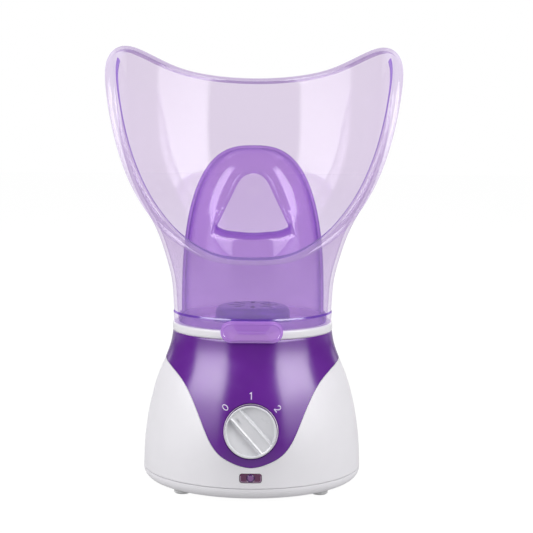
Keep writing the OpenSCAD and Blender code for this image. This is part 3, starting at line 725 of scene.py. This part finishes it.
def hood_shell():
    """The wall, and the lip that rolls outwards from its rim."""
    turn = np.linspace(0, 2 * math.pi, HOOD_COLUMNS, endpoint=False)
    outside, inside, out = hood_wall(turn)
    edge = outside[-1]
    along = unit(np.roll(edge, -1, 0) - np.roll(edge, 1, 0))
    up = unit(np.cross(out, along))
    reach = smooth(LIP, edge[:, 2])[:, None]

    def lip(degrees, extra):
        a = math.radians(degrees)
        return edge + reach * out + (reach + extra) * (math.sin(a) * up - math.cos(a) * out)

    angles = np.linspace(0, LIP_TURN, LIP_ROWS)[1:]
    outer = [lip(a, 0) for a in angles]
    inner = [lip(a, HOOD_WALL) for a in angles]
    half = HOOD_WALL / 2
    bead = [
        lip(LIP_TURN + BEAD_TURN * math.sin(t), half - half * math.cos(t))
        for t in np.radians(range(20, 180, 20))
    ]
    rings = [*outside, *outer, *bead, *inner[::-1], *inside[::-1]]
    wall, roll = len(outside), len(outer)
    first = wall + roll + len(bead)
    crease = [first + k for k in range(roll) if angles[::-1][k] <= CREASE]
    looks = np.zeros((len(rings), HOOD_COLUMNS), int)
    # Painted light and shade: slot 1 is the lip's painted sheen, slot 3 the back rim's painted
    # shade.
    looks[wall - 1 : first + roll] = np.where(np.cos(turn) < RIM_BACK, 3, 1)
    # Painted shade: the dark crease line.
    looks[np.ix_(crease, np.cos(turn) > CREASE_END)] = 2
    ledge = range(FOOT_ROWS.index(LEDGE_Z[0]), FOOT_ROWS.index(LEDGE_Z[-1]))
    # Painted shade: a dark line along the ledge at the front.
    looks[np.ix_(ledge, np.cos(turn) > 0)] = 2
    return skin("hood_shell", rings, closed=True, looks=looks)


def tab_plate():
    """A rounded plate bent round the hood's foot, with a raised rounded frame."""
    height, mid_z = TAB_HIGH - TAB_LOW, (TAB_LOW + TAB_HIGH) / 2
    outline = np.array(round_rect(TAB_W, height, TAB_CORNER, 12))
    rings = []
    for share, r in [(1.0, TAB_BACK)] + [(share, TAB_FRONT + rise) for share, rise in TAB_FACE]:
        shrink = (1 - share) * height / 2 * TAB_SLIM
        flat = outline * [1 - 2 * shrink / TAB_W, 1 - 2 * shrink / height]
        a = flat[:, 0] / TAB_BACK
        rings.append(np.stack([r * np.sin(a), -r * np.cos(a), mid_z + flat[:, 1]], -1))
    return skin("hood_tab", rings, caps=True)


def tab_web():
    """The bridge from the hood's wall to the tab."""
    low, high = HOOD_Z + 0.1, TAB_HIGH - 2.2
    corners = [(HOOD_NECK, low), (TAB_BACK, low), (TAB_BACK, high), (HOOD_NECK, high)]
    rings = []
    for a in np.linspace(-WEB_HALF, WEB_HALF, 40) / TAB_BACK:
        rings.append([(r * math.sin(a), -r * math.cos(a), z) for r, z in corners])
    return skin("hood_web", rings, caps=True)


def face_hood():
    """The clear hood, and the finger tab at the front of its foot."""
    looks = (hood_clear, lip_painted_sheen, crease_painted_shade, rim_painted_shade)
    ob = new_object("face_hood_shell", hood_shell(), looks, "hood")
    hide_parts("face_hood")
    tab = joined("face_hood_tab", [tab_plate(), tab_web()])
    ob = new_object("face_hood_tab", tab, tab_clear, "hood")


# ---- nose cone ----

# The dome is a superellipse of power DOME_P over a round foot, and its top leans back.
DOME_R = 43.6
DOME_H = 102
DOME_Z = 103.4
DOME_P = 2.75
DOME_WALL = 1.6
DOME_LEAN = 10

# The nose opening from the front: degrees from its top, distance from the point at NOSE_MID_Z.
NOSE_MID_Z = 169
NOSE_EDGE = [
    (0, 19.85), (14.6, 19.2), (26.7, 17.6), (41.5, 15.6), (63, 14.3), (88, 15.7), (107, 19.5),
    (114, 22.2), (118, 23.9), (122, 23.1), (126, 22), (141.7, 17.9), (160, 15.4), (180, 14.66),
]

# The sunk seat round the opening, and the sill below it that carries painted shade, in rows and
# degrees from the top.
SEAT_DEPTH = 8
SEAT_REACH = 13
SEAT_REACH_BELOW = 3.8
SILL_ROWS = 8
SILL_FROM = 116

# The flange the cone stands on: radius, depth under DOME_Z.
CONE_FLANGE = [(45.2, 0.9), (45.0, 0.5), (44.4, 0.25), (43.8, 0.1)]
FLANGE_BORE = 43.8


def dome_at(spot):
    """Point on the dome for a spot on a disc: the top is its centre, the foot its edge."""
    share = np.linalg.norm(spot, axis=-1)
    steep = np.radians(90 * share)
    turn = np.arctan2(spot[..., 0], -spot[..., 1])
    flat = (np.sin(steep) / DOME_R) ** DOME_P + (np.clip(np.cos(steep), 0, 1) / DOME_H) ** DOME_P
    ray = flat ** (-1 / DOME_P)
    out, up = ray * np.sin(steep), ray * np.cos(steep)
    lean = DOME_LEAN * (up / DOME_H) ** 2
    return np.stack([out * np.sin(turn), -out * np.cos(turn) + lean, DOME_Z + up], -1)


def dome_spot(x, z):
    """The spot of the point that shows at x, z from the front."""
    up = z - DOME_Z
    out = DOME_R * (1 - (up / DOME_H) ** DOME_P) ** (1 / DOME_P)
    turn = np.arcsin(x / out)
    share = np.degrees(np.arctan2(out, up)) / 90
    return np.stack([share * np.sin(turn), -share * np.cos(turn)], -1)


def seat_set_back(share):
    """Set-back of the seat, share being 0 at the opening's edge and 1 where the seat ends: an even
    slope, with a roll that steepens towards the edge."""
    roll = 1 - np.sqrt(1 - (1 - share) ** 3.5)
    return SEAT_DEPTH * (0.45 * (1 - share) ** 1.25 + 0.55 * roll)


def dome_rows(turn, from_top):
    """The dome's outside as rows of points from the foot up to the nose opening."""
    away = smooth(NOSE_EDGE, np.abs(np.degrees(from_top)))
    rim_spot = dome_spot(away * np.sin(from_top), NOSE_MID_Z + away * np.cos(from_top))
    rim = dome_at(rim_spot)
    foot_spot = np.stack([np.sin(turn), -np.cos(turn)], -1)
    aside = 1 - np.sqrt(np.clip(np.cos(turn), 0, 1))
    reach = SEAT_REACH_BELOW + (SEAT_REACH - SEAT_REACH_BELOW) * aside
    rows = []
    for t in np.linspace(0, 1, 56) ** 1.6:
        p = dome_at(rim_spot + (foot_spot - rim_spot) * t)
        d = np.hypot(p[:, 0] - rim[:, 0], p[:, 2] - rim[:, 2])
        p[:, 1] += seat_set_back(np.clip(d / reach, 0, 1))
        rows.append(p)
    return np.array(rows[::-1])


def nose_cone():
    """The dome on its flange, with painted shade on the sill below the opening and painted light on
    the back half.
    """
    turn = np.linspace(-math.pi, math.pi, 256, endpoint=False)
    from_top = np.where(turn > 0, math.pi - turn, -math.pi - turn)
    dome = dome_rows(turn, from_top)
    inner = dome - DOME_WALL * grid_normals(dome)
    flange = [(CONE_FLANGE[0][0], HOOD_Z)] + [(r, DOME_Z - drop) for r, drop in CONE_FLANGE]
    bore = [(DOME_R - DOME_WALL, DOME_Z - 1.1), (FLANGE_BORE, DOME_Z - 1.2), (FLANGE_BORE, HOOD_Z)]

    def ring(r, z):
        return np.stack([r * np.sin(turn), -r * np.cos(turn), np.full_like(turn, z)], -1)

    rings = [ring(*p) for p in flange] + list(dome) + list(inner[::-1]) + [ring(*p) for p in bore]
    # Painted light: the back half gets the clearer copy.
    looks = np.where(np.asarray(rings)[..., 1] > DOME_LEAN, 2, 0)
    rim_row = len(flange) + len(dome) - 1
    # Painted shade: the sill rows below the opening get the darker copy.
    looks[rim_row - SILL_ROWS : rim_row + 2, np.abs(from_top) > math.radians(SILL_FROM)] = 1
    mesh = skin("nose_cone_shell", rings, closed=True, looks=looks)
    materials = (nose_clear, nose_painted_shade, nose_back_painted_light)
    ob = new_object("nose_cone_shell", mesh, materials, "nose")
    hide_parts("nose_cone")


# ---- steam cap ----

CAP_SHOULDER = 18
CAP_ROUND = 5
CAP_WALL = 1.6
# Painted light: the brim beyond CAP_BRIM is painted pale against the shade under the hood.
CAP_BRIM = 24  # where the violet dome ends and the pale brim starts
CAP_SLOTS = 8


def steam_cap():
    """The slotted violet cap on its brim, which is painted pale as painted light against the shade
    under the hood.
    """
    low, high = box_mm("steam_cap")
    r, z0, top = high[0], low[2], high[2]
    bend, hollow = top - CAP_ROUND, CAP_ROUND - CAP_WALL
    profile = [(0.01, top)] + arc(CAP_SHOULDER, bend, CAP_ROUND, 90, 0, 10)
    profile += arc(CAP_BRIM + 0.2, z0 + 2.8, 1.2, 180, 270, 5)
    profile += arc(r - 0.5, z0 + 1.1, 0.5, 90, -90, 7) + [(CAP_SHOULDER + hollow, z0)]
    profile += arc(CAP_SHOULDER, bend, hollow, 0, 90, 8) + [(0.01, top - CAP_WALL)]
    mesh = skin("steam_cap_skin", turned(profile, 192), caps=True)
    outline = [(x + 11.5, y) for x, y in round_rect(9, 3, 1.49)]
    slots = []
    for k in range(CAP_SLOTS):
        turn = Matrix.Rotation(k * 2 * math.pi / CAP_SLOTS, 4, "Z")
        slots.append(moved(prism("slot", outline, top - 3, top + 3), turn))
    mesh = boolean(mesh, joined("slots", slots))
    ob = new_object("steam_cap_skin", mesh, (cap_violet, violet_painted_light), "cap")
    # Painted light: the brim beyond CAP_BRIM gets the pale colour.
    for face in mesh.polygons:
        face.material_index = int(math.hypot(face.center.x, face.center.y) > CAP_BRIM * MM)
    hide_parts("steam_cap")


# ---- knob and dial ----

KNOB_R = 14.9
KNOB_OUT = 11.8
KNOB_STEP = 42  # degrees between the switch's positions
KNOB_SHELL = 2
KNOB_HUB = 5.6


def knob_drop(off, r):
    """Depth of the knob's face under its rim, off being the distance from its middle line: a grip
    bar with a bead along each edge, and a dished floor on either side."""
    bar = 1 - fade(off, 3.6, 4.9)
    bead = 0.5 * np.exp(-(((off - 3.5) / 0.6) ** 2))
    floor = 2.4 - 1.5 * fade(off, 5, 13.5)
    return (floor * (1 - bar) + 0.5 * bar - bead) * (1 - fade(r, 13.5, 14.1))


def knob():
    """The silver knob, turned to its place at rest."""
    turn = np.linspace(0, 2 * math.pi, 240, endpoint=False)
    rings = []
    for r in np.concatenate([[0.02], np.linspace(0.35, 14.3, 66)]):
        u, v = r * np.cos(turn), r * np.sin(turn)
        rings.append(np.stack([u, v, KNOB_OUT - knob_drop(np.abs(u), r)], -1))
    inside = KNOB_R - KNOB_SHELL
    profile = arc(KNOB_R - 0.5, KNOB_OUT - 0.5, 0.5, 84, 0, 8)
    profile += [(KNOB_R, -1.3), (KNOB_R - 0.15, -1.7), (KNOB_R - 0.5, -1.8), (inside, -1.8)]
    profile += [(inside, 5.6), (KNOB_HUB, 5.6), (KNOB_HUB, 1.4), (0.02, 1.4)]
    for r, w in profile:
        rings.append(np.stack([r * np.cos(turn), r * np.sin(turn), np.full_like(turn, w)], -1))
    mesh = skin("knob_cap", rings, caps=True)
    pointer = [(x - 1.0, y + 9.3) for x, y in round_rect(1.1, 3.6, 0.54)]
    mesh = boolean(mesh, prism("groove", pointer, KNOB_OUT - 1.1, KNOB_OUT + 1))
    at_rest = KNOB @ Matrix.Rotation(math.radians(KNOB_STEP), 4, "Z")
    ob = new_object("knob_cap", moved(mesh, at_rest), knob_silver, "knob")
    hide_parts("control_knob")


# The dial's numbers: half their strokes' width, their rise off the panel, their scale, how far
# they are from the knob's middle, and their angles clockwise from the top.
STROKE_HALF = 0.28
STROKE_RISE = 0.05
DIGIT_SIZE = 0.88
DIGIT_OUT = 19.8
DIGIT_TURNS = (-49, 0, 51)


def stroke(points, closed=False):
    """A raised ribbon of even width along a line of (x, y) points."""
    p = np.array(points, float)
    along = np.roll(p, -1, 0) - np.roll(p, 1, 0) if closed else np.gradient(p, axis=0)
    side = unit(np.column_stack([-along[:, 1], along[:, 0]])) * STROKE_HALF
    corners = [(p - side, 0), (p + side, 0), (p + side, STROKE_RISE), (p - side, STROKE_RISE)]
    rings = np.stack([np.column_stack([q, np.full(len(q), z)]) for q, z in corners], 1)
    return skin("stroke", rings, closed=closed, caps=not closed)


def digits():
    """The dial's numbers 0, 1 and 2 as strokes about 4.6 mm tall, before DIGIT_SIZE."""
    a = np.radians(np.arange(0, 360, 10))
    nought = [stroke(np.column_stack([1.35 * np.cos(a), 2.0 * np.sin(a)]), closed=True)]
    one = [stroke([(0.15, -2.3), (0.15, 0), (0.15, 2.3)]), stroke([(-0.95, 1.3), (0.15, 2.1)])]
    two = [stroke([*arc(0, 0.85, 1.25, 165, -35, 16), (0.1, -0.9), (-1.25, -1.95)])]
    two.append(stroke([(-1.35, -2.0), (0, -2.0), (1.35, -2.0)]))
    return nought, one, two


def numeral(strokes, angle):
    """A printed number on the panel, its foot towards the knob; angle is clockwise from the top."""
    mesh = joined("numeral", strokes)
    centre = KNOB.translation
    a = math.radians(angle)
    for v in mesh.vertices:
        u, w, lift = v.co * DIGIT_SIZE / MM
        x = u * math.cos(a) + (w + DIGIT_OUT) * math.sin(a)
        z = centre.z + (w + DIGIT_OUT) * math.cos(a) - u * math.sin(a)
        r = float(body_r(z)) + lift
        v.co = Vector((x, -math.sqrt(r * r - x * x), z)) * MM
    return mesh


def dial():
    """The numbers of the three switch positions."""
    numbers = joined("dial_numbers", [numeral(d, a) for d, a in zip(digits(), DIGIT_TURNS)])
    ob = new_object("dial_numbers", numbers, print_white, "housing")


# ---- lamp window ----

LENS_W = 12.9
LENS_H = 5.5
LENS_CORNER = 1.6
LENS_BACK = 62.6
LENS_SUNK = 0.25


def lens_relief(x, z):
    """Rise of the window's face: an eye in a sunk ring, ribs beside it and a chamfered edge."""
    d = np.hypot(x, z)
    ribs = 0.1 * (0.5 + 0.5 * np.cos(x * 2 * math.pi / 0.95)) * fade(d, 2.7, 3.0)
    ring = 0.22 * (fade(d, 1.9, 2.15) - fade(d, 2.45, 2.7))
    eye = 0.35 * np.sqrt(np.clip(1 - (d / 2.1) ** 2, 0, 1))
    edge = np.minimum(LENS_W / 2 - np.abs(x), LENS_H / 2 - np.abs(z))
    return ribs - ring + eye - 0.5 * (1 - fade(edge, 0, 0.5))


def lens_block(mid_z):
    """A block with the window's face at its front and square corners."""
    nx, nz = 104, 44
    xs, zs = np.linspace(-LENS_W / 2, LENS_W / 2, nx), np.linspace(-LENS_H / 2, LENS_H / 2, nz)
    x, z = np.meshgrid(xs, zs)
    y = -(np.sqrt(body_r(mid_z) ** 2 - x**2) - LENS_SUNK + lens_relief(x, z))
    front = np.stack([x, y, z + mid_z], -1).reshape(-1, 3)
    rear = np.stack([x, np.full_like(x, -LENS_BACK), z + mid_z], -1).reshape(-1, 3)
    n = nx * nz
    faces = []
    for i in range(nz - 1):
        for a in range(i * nx, i * nx + nx - 1):
            b = a + nx
            faces += [(a, a + 1, b + 1, b), (n + a, n + b, n + b + 1, n + a + 1)]
    loop = [*range(nx), *[i * nx + nx - 1 for i in range(1, nz)]]
    loop += [(nz - 1) * nx + j for j in range(nx - 2, -1, -1)]
    loop += [i * nx for i in range(nz - 2, 0, -1)]
    for a, b in zip(loop, loop[1:] + loop[:1]):
        faces.append((a, b, n + b, n + a))
    return mesh_from("lens_block", np.vstack([front, rear]), faces)


def lens_look(x, z):
    """Slot of the window's material at a spot: dark 0, ring 1, eye 2 or 3 for a pale rim that is a
    painted highlight along the edge, left off the top.
    """
    over = np.array([abs(x) - LENS_W / 2 + LENS_CORNER, abs(z) - LENS_H / 2 + LENS_CORNER])
    inset = LENS_CORNER - np.linalg.norm(np.maximum(over, 0)) - min(max(over), 0)
    d = math.hypot(x, z)
    if d < 2.5:
        return 2 if d < 1.7 else 1
    # Painted highlight: the pale rim round the edge, but not along the top.
    return 3 if 0.35 < inset < 0.8 and z < 1.4 else 0


def lens():
    """The small dark lamp window."""
    low, high = box_mm("indicator_lens")
    mid_z = (low[2] + high[2]) / 2
    shape = prism("lens_shape", round_rect(LENS_W, LENS_H, LENS_CORNER), 0, CUT_LENGTH)
    moved(shape, through_wall("indicator_lens", -1))
    mesh = boolean(lens_block(mid_z), shape, "INTERSECT")
    ob = new_object("lamp_window", mesh, (lens_dark, lens_ring, lens_eye, lens_edge_highlight), "housing")
    for face in mesh.polygons:
        face.material_index = lens_look(face.center.x / MM, face.center.z / MM - mid_z)
    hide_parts("indicator_lens")


# ---- stage, lights, camera ----


def floor():
    """A plain pale floor that glows just enough to be seen as white."""
    far = 6000
    corners = [(-far, -far, 0), (far, -far, 0), (far, far, 0), (-far, far, 0)]
    ob = bpy.data.objects.new("floor", mesh_from("floor", corners, [(0, 1, 2, 3)]))
    bpy.context.scene.collection.objects.link(ob)
    mat, nt, p = node_material("floor")
    p.inputs["Base Color"].default_value = (0.1, 0.1, 0.1, 1)
    p.inputs["Roughness"].default_value = 0.8
    p.inputs["Specular IOR Level"].default_value = 0.0
    p.inputs["Emission Color"].default_value = (1, 1, 1, 1)
    path = nt.nodes.new("ShaderNodeLightPath")
    seen = nt.nodes.new("ShaderNodeMapRange")
    seen.inputs["To Min"].default_value = 0.4
    seen.inputs["To Max"].default_value = 0.945
    nt.links.new(path.outputs["Is Camera Ray"], seen.inputs["Value"])
    nt.links.new(seen.outputs["Result"], p.inputs["Emission Strength"])
    ob.data.materials.append(mat)


def card_mesh(name, turn, radius, height, soft):
    """A sheet bowed round the object, with its glow from 0 to 1 stored at its points."""
    columns, rows = 48, 24
    points, shares, faces = [], [], []
    for i in range(rows + 1):
        for j in range(columns + 1):
            a = math.radians(turn[0] + (turn[1] - turn[0]) * j / columns)
            z = height[0] + (height[1] - height[0]) * i / rows
            points.append((radius * math.sin(a), -radius * math.cos(a), z))
            shares.append((j / columns, i / rows))
            if i < rows and j < columns:
                k = i * (columns + 1) + j
                faces.append((k, k + 1, k + columns + 2, k + columns + 1))
    mesh = bpy.data.meshes.new(name)
    mesh.from_pydata([tuple(np.array(p) * MM) for p in points], [], faces)
    layer = mesh.attributes.new("glow", "FLOAT", "POINT")
    for k, (u, v) in enumerate(shares):
        side = fade(min(u, 1 - u), 0, soft[0])
        layer.data[k].value = float(side * fade(min(v, 1 - v), 0, soft[1]))
    return mesh


def glow_material(name, glow):
    """Emission of the given strength times the glow stored in the mesh."""
    mat = bpy.data.materials.new(name)
    mat.use_nodes = True
    nt = mat.node_tree
    nt.nodes.clear()
    level = nt.nodes.new("ShaderNodeAttribute")
    level.attribute_name = "glow"
    scale = nt.nodes.new("ShaderNodeMath")
    scale.operation = "MULTIPLY"
    scale.inputs[1].default_value = glow
    emit = nt.nodes.new("ShaderNodeEmission")
    out = nt.nodes.new("ShaderNodeOutputMaterial")
    nt.links.new(level.outputs["Fac"], scale.inputs[0])
    nt.links.new(scale.outputs[0], emit.inputs["Strength"])
    nt.links.new(emit.outputs[0], out.inputs["Surface"])
    return mat


def card(name, turn, radius, height, glow, soft):
    """A bowed glowing card round the object, seen only in what mirrors it. turn gives its two ends
    in degrees from the front, and soft the share of its width and height over which it fades."""
    mesh = card_mesh(name, turn, radius, height, soft)
    mesh.materials.append(glow_material(name, glow))
    ob = bpy.data.objects.new(name, mesh)
    bpy.context.scene.collection.objects.link(ob)
    ob.visible_camera = False
    ob.visible_diffuse = False
    ob.visible_shadow = False
    ob.visible_transmission = False


def lamp(name, place, aim, size, power):
    """A large soft lamp that lights surfaces but isn't mirrored in them."""
    light = bpy.data.lights.new(name, "AREA")
    light.shape = "RECTANGLE"
    light.size, light.size_y = size
    light.energy = power
    ob = bpy.data.objects.new(name, light)
    ob.location = place
    ob.rotation_euler = (Vector(aim) - Vector(place)).to_track_quat("-Z", "Z").to_euler()
    ob.visible_glossy = False
    bpy.context.scene.collection.objects.link(ob)


def world():
    """White behind everything, and a dimmer even light on it all."""
    studio = bpy.data.worlds.new("studio")
    bpy.context.scene.world = studio
    studio.use_nodes = True
    nt = studio.node_tree
    path = nt.nodes.new("ShaderNodeLightPath")
    lit = nt.nodes.new("ShaderNodeMapRange")
    lit.inputs["To Min"].default_value = 0.1
    lit.inputs["To Max"].default_value = 0.48
    nt.links.new(path.outputs["Is Diffuse Ray"], lit.inputs["Value"])
    seen = nt.nodes.new("ShaderNodeMapRange")
    seen.inputs["To Max"].default_value = 1.0
    nt.links.new(path.outputs["Is Camera Ray"], seen.inputs["Value"])
    nt.links.new(lit.outputs["Result"], seen.inputs["To Min"])
    background = nt.nodes["Background"]
    background.inputs["Color"].default_value = (1, 1, 1, 1)
    nt.links.new(seen.outputs["Result"], background.inputs["Strength"])


def camera():
    """A close camera a little above the object, as in the photograph."""
    data = bpy.data.cameras.new("camera")
    data.sensor_width = 36
    data.lens = 92.65
    ob = bpy.data.objects.new("camera", data)
    pitch, roll = math.radians(5.67), math.radians(0.41)
    tilt = Matrix.Rotation(math.pi / 2 - pitch, 4, "X") @ Matrix.Rotation(roll, 4, "Z")
    ob.matrix_world = Matrix.Translation((0.0083, -0.8393, 0.2146)) @ tilt
    bpy.context.scene.collection.objects.link(ob)
    bpy.context.scene.camera = ob
    bpy.context.scene.view_settings.view_transform = "Standard"
    bpy.context.scene.cycles.transparent_max_bounces = 32
    bpy.context.scene.cycles.caustics_reflective = False


camera()
world()
floor()
card("card_left", (-86, -32), 1600, (-100, 4000), 7.2, (0.1, 0.3))
card("card_right", (32, 86), 1600, (-100, 4000), 7.8, (0.1, 0.3))
card("card_back", (136, 224), 1600, (0, 2400), 1.3, (0.06, 0.1))
lamp("left", (-1.6, -0.6, 0.9), (0, 0, 0.12), (1.2, 1.4), 18)
lamp("right", (1.6, -0.6, 0.9), (0, 0, 0.12), (1.2, 1.4), 17)
lamp("top", (0, -0.5, 1.9), (0, 0, 0.1), (1.4, 1.2), 7)

upper_housing()
pocket_edge_highlight()
lower_housing()
collar_ring()
face_hood()
nose_cone()
steam_cap()
knob()
dial()
lens()
